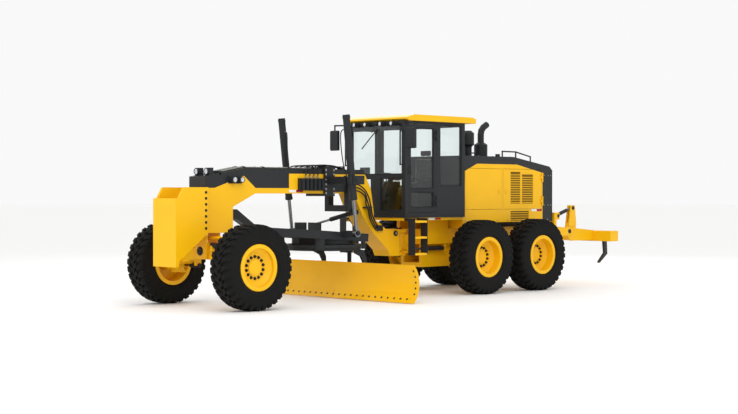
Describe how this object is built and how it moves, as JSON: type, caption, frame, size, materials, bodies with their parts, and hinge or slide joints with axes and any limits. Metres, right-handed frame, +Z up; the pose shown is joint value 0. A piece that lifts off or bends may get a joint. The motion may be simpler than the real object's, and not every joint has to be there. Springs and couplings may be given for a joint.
{
  "type": "motor grader",
  "caption": "Motor grader with a front push block, leaning and steering front wheels, a circle-mounted blade under an arched frame, cab, tandem rear wheels and a rear ripper.",
  "frame": {"origin": "on the ground below the middle of the machine's length, on its centre plane", "axes": "+X forward, +Y to the machine's left, +Z up"},
  "size_m": [10.5, 3.962, 3.22],
  "materials": {
    "yellow_paint": "gloss",
    "dark_paint": "satin",
    "rod_chrome": "polished",
    "tyre_rubber": "matte",
    "tinted_glass": "gloss",
    "seat_fabric": "matte",
    "console_plastic": "matte",
    "cast_iron": "matte"
  },
  "bodies": {
    "rear": {"rear_frame": "yellow_paint", "tandem_cases": "yellow_paint", "powertrain": "cast_iron", "hood": "yellow_paint", "exhaust": "dark_paint", "cab_frame": "dark_paint", "cab_roof": "yellow_paint", "cab_glass": "tinted_glass", "seat": "seat_fabric", "console": "console_plastic", "cab_fittings": "dark_paint", "articulation_barrels": "dark_paint"},
    "front": {"front_frame": "yellow_paint", "push_block": "yellow_paint", "frame_fittings": "dark_paint", "saddle": "dark_paint", "front_axle": "yellow_paint", "axle_cylinders": "dark_paint"},
    "engine_door_front_left": {"engine_door_front_left": "yellow_paint"},
    "engine_door_front_right": {"engine_door_front_right": "yellow_paint"},
    "engine_door_rear_left": {"engine_door_rear_left": "yellow_paint"},
    "engine_door_rear_right": {"engine_door_rear_right": "yellow_paint"},
    "articulation_rod_left": {"articulation_rod_left": "rod_chrome"},
    "articulation_rod_right": {"articulation_rod_right": "rod_chrome"},
    "lean_yoke_left": {"lean_yoke_left": "yellow_paint"},
    "lean_yoke_right": {"lean_yoke_right": "yellow_paint"},
    "lean_bar": {"lean_bar": "yellow_paint"},
    "lean_rod": {"lean_rod": "rod_chrome"},
    "knuckle_left": {"knuckle_left": "yellow_paint"},
    "knuckle_right": {"knuckle_right": "yellow_paint"},
    "steer_rod_left": {"steer_rod_left": "rod_chrome"},
    "steer_rod_right": {"steer_rod_right": "rod_chrome"},
    "drawbar": {"drawbar": "dark_paint"},
    "circle": {"circle": "dark_paint"},
    "blade_carrier": {"blade_carrier": "dark_paint"},
    "moldboard": {"moldboard": "yellow_paint"},
    "pitch_rod": {"pitch_rod": "rod_chrome"},
    "lift_barrels": {"lift_barrels": "dark_paint"},
    "lift_rods": {"lift_rods": "rod_chrome"},
    "shift_barrel": {"shift_barrel": "dark_paint"},
    "shift_rod": {"shift_rod": "rod_chrome"},
    "ripper": {"ripper": "yellow_paint"},
    "ripper_barrels": {"ripper_barrels": "dark_paint"},
    "ripper_rods": {"ripper_rods": "rod_chrome"},
    "cab_door_left": {"cab_door_left": "dark_paint", "door_glass_left": "tinted_glass"},
    "cab_door_right": {"cab_door_right": "dark_paint", "door_glass_right": "tinted_glass"},
    "wheel_front_left": {"tyre_front_left": "tyre_rubber", "rim_front_left": "yellow_paint"},
    "wheel_front_right": {"tyre_front_right": "tyre_rubber", "rim_front_right": "yellow_paint"},
    "wheel_mid_left": {"tyre_mid_left": "tyre_rubber", "rim_mid_left": "yellow_paint"},
    "wheel_mid_right": {"tyre_mid_right": "tyre_rubber", "rim_mid_right": "yellow_paint"},
    "wheel_rear_left": {"tyre_rear_left": "tyre_rubber", "rim_rear_left": "yellow_paint"},
    "wheel_rear_right": {"tyre_rear_right": "tyre_rubber", "rim_rear_right": "yellow_paint"}
  },
  "joints": [
    {"name": "articulation", "type": "hinge", "parent": "rear", "child": "front", "pos_m": [0.05, 0, 0.94], "axis": [0, 0, 1], "range_deg": [-22, 22]},
    {"name": "articulation_rod_left", "type": "slide", "parent": "rear", "child": "articulation_rod_left", "axis": [1, 0, 0], "range_m": [-0.1272, 0.1272]},
    {"name": "articulation_rod_right", "type": "slide", "parent": "rear", "child": "articulation_rod_right", "axis": [1, 0, 0], "range_m": [-0.1272, 0.1272]},
    {"name": "wheel_lean", "type": "hinge", "parent": "front", "child": "lean_yoke_left", "pos_m": [4.4, 0.76, 0.74], "axis": [1, 0, 0], "range_deg": [-20, 20]},
    {"name": "wheel_lean_right", "type": "hinge", "parent": "front", "child": "lean_yoke_right", "pos_m": [4.4, -0.76, 0.74], "axis": [1, 0, 0], "range_deg": [-20, 20]},
    {"name": "lean_bar_pin", "type": "hinge", "parent": "lean_yoke_left", "child": "lean_bar", "pos_m": [4.4, 0.76, 1.11], "axis": [1, 0, 0], "range_deg": [-20, 20]},
    {"name": "lean_rod", "type": "slide", "parent": "front", "child": "lean_rod", "axis": [0, 1, 0], "range_m": [-0.0913, 0.0913]},
    {"name": "steering", "type": "hinge", "parent": "lean_yoke_left", "child": "knuckle_left", "pos_m": [4.4, 0.9, 0.674], "axis": [0, 0, 1], "range_deg": [-42, 42]},
    {"name": "steering_right", "type": "hinge", "parent": "lean_yoke_right", "child": "knuckle_right", "pos_m": [4.4, -0.9, 0.674], "axis": [0, 0, 1], "range_deg": [-42, 42]},
    {"name": "steer_rod_left", "type": "slide", "parent": "front", "child": "steer_rod_left", "axis": [0, 1, 0], "range_m": [-0.0877, 0.0877]},
    {"name": "steer_rod_right", "type": "slide", "parent": "front", "child": "steer_rod_right", "axis": [0, 1, 0], "range_m": [-0.0877, 0.0877]},
    {"name": "spin_front_left", "type": "hinge", "parent": "knuckle_left", "child": "wheel_front_left", "pos_m": [4.4, 1.105, 0.674], "axis": [0, 1, 0], "continuous": true},
    {"name": "spin_front_right", "type": "hinge", "parent": "knuckle_right", "child": "wheel_front_right", "pos_m": [4.4, -1.105, 0.674], "axis": [0, 1, 0], "continuous": true},
    {"name": "spin_mid_left", "type": "hinge", "parent": "rear", "child": "wheel_mid_left", "pos_m": [-0.995, 1.105, 0.674], "axis": [0, 1, 0], "continuous": true},
    {"name": "spin_mid_right", "type": "hinge", "parent": "rear", "child": "wheel_mid_right", "pos_m": [-0.995, -1.105, 0.674], "axis": [0, 1, 0], "continuous": true},
    {"name": "spin_rear_left", "type": "hinge", "parent": "rear", "child": "wheel_rear_left", "pos_m": [-2.535, 1.105, 0.674], "axis": [0, 1, 0], "continuous": true},
    {"name": "spin_rear_right", "type": "hinge", "parent": "rear", "child": "wheel_rear_right", "pos_m": [-2.535, -1.105, 0.674], "axis": [0, 1, 0], "continuous": true},
    {"name": "blade_lift", "type": "hinge", "parent": "front", "child": "drawbar", "pos_m": [3.95, 0, 1.49], "axis": [0, 1, 0], "range_deg": [-8, 10]},
    {"name": "lift_barrels", "type": "hinge", "parent": "front", "child": "lift_barrels", "pos_m": [1.99, 0, 2.05], "axis": [0, 1, 0], "range_deg": [-6, 7.5]},
    {"name": "lift_rods", "type": "slide", "parent": "lift_barrels", "child": "lift_rods", "axis": [0.1213, 0, 0.9926], "range_m": [-0.285, 0.355]},
    {"name": "shift_barrel", "type": "hinge", "parent": "front", "child": "shift_barrel", "pos_m": [1.41, 0.3, 1.5], "axis": [-1, 0, 0], "range_deg": [-17, 21.5]},
    {"name": "shift_rod", "type": "slide", "parent": "shift_barrel", "child": "shift_rod", "axis": [0, -0.9774, -0.2113], "range_m": [-0.08, 0.065]},
    {"name": "circle_turn", "type": "hinge", "parent": "drawbar", "child": "circle", "pos_m": [1.9, 0, 0.9], "axis": [0, 0, 1], "continuous": true},
    {"name": "blade_pitch", "type": "hinge", "parent": "circle", "child": "blade_carrier", "pos_m": [1.41, 0, 0.16], "axis": [0, 1, 0], "range_deg": [-5, 40]},
    {"name": "pitch_rod", "type": "slide", "parent": "circle", "child": "pitch_rod", "axis": [0, 0, 1], "range_m": [-0.0125, 0.0975]},
    {"name": "side_shift", "type": "slide", "parent": "blade_carrier", "child": "moldboard", "axis": [0, 1, 0], "range_m": [-0.683, 0.683]},
    {"name": "cab_door_left", "type": "hinge", "parent": "rear", "child": "cab_door_left", "pos_m": [-0.17, 0.767, 2.2], "axis": [0, 0, 1], "range_deg": [0, 85]},
    {"name": "cab_door_right", "type": "hinge", "parent": "rear", "child": "cab_door_right", "pos_m": [-0.17, -0.767, 2.2], "axis": [0, 0, -1], "range_deg": [0, 85]},
    {"name": "engine_door_front_left", "type": "hinge", "parent": "rear", "child": "engine_door_front_left", "pos_m": [-1.035, 0.667, 1.9], "axis": [0, 0, -1], "range_deg": [0, 80]},
    {"name": "engine_door_rear_left", "type": "hinge", "parent": "rear", "child": "engine_door_rear_left", "pos_m": [-3.295, 0.667, 1.9], "axis": [0, 0, 1], "range_deg": [0, 80]},
    {"name": "engine_door_front_right", "type": "hinge", "parent": "rear", "child": "engine_door_front_right", "pos_m": [-1.035, -0.667, 1.9], "axis": [0, 0, 1], "range_deg": [0, 80]},
    {"name": "engine_door_rear_right", "type": "hinge", "parent": "rear", "child": "engine_door_rear_right", "pos_m": [-3.295, -0.667, 1.9], "axis": [0, 0, -1], "range_deg": [0, 80]},
    {"name": "ripper_lift", "type": "hinge", "parent": "rear", "child": "ripper", "pos_m": [-4.16, 0, 1.074], "axis": [0, 1, 0], "range_deg": [-40, 8]},
    {"name": "ripper_barrels", "type": "hinge", "parent": "rear", "child": "ripper_barrels", "pos_m": [-3.775, 0, 1.384], "axis": [0, 1, 0], "range_deg": [-19.5, 4]},
    {"name": "ripper_rods", "type": "slide", "parent": "ripper_barrels", "child": "ripper_rods", "axis": [-0.9586, 0, 0.2848], "range_m": [-0.051, 0.252]}
  ],
  "couplings": [
    {"joint": "articulation_rod_left", "follows": "articulation", "m_per_rad": -0.33},
    {"joint": "articulation_rod_right", "follows": "articulation", "m_per_rad": 0.33},
    {"joint": "wheel_lean_right", "follows": "wheel_lean", "ratio": 1},
    {"joint": "lean_bar_pin", "follows": "wheel_lean", "ratio": -1},
    {"joint": "lean_rod", "follows": "wheel_lean", "m_per_rad": -0.26},
    {"joint": "steering_right", "follows": "steering", "ratio": 1},
    {"joint": "steer_rod_left", "follows": "steering", "m_per_rad": -0.119},
    {"joint": "steer_rod_right", "follows": "steering", "m_per_rad": -0.119},
    {"joint": "lift_barrels", "follows": "blade_lift", "ratio": 0.69},
    {"joint": "lift_rods", "follows": "blade_lift", "m_per_rad": 2.01},
    {"joint": "shift_barrel", "follows": "blade_lift", "ratio": 2.1},
    {"joint": "shift_rod", "follows": "blade_lift", "m_per_rad": -0.45},
    {"joint": "pitch_rod", "follows": "blade_pitch", "m_per_rad": 0.139},
    {"joint": "ripper_barrels", "follows": "ripper_lift", "ratio": 0.48},
    {"joint": "ripper_rods", "follows": "ripper_lift", "m_per_rad": -0.36}
  ]
}
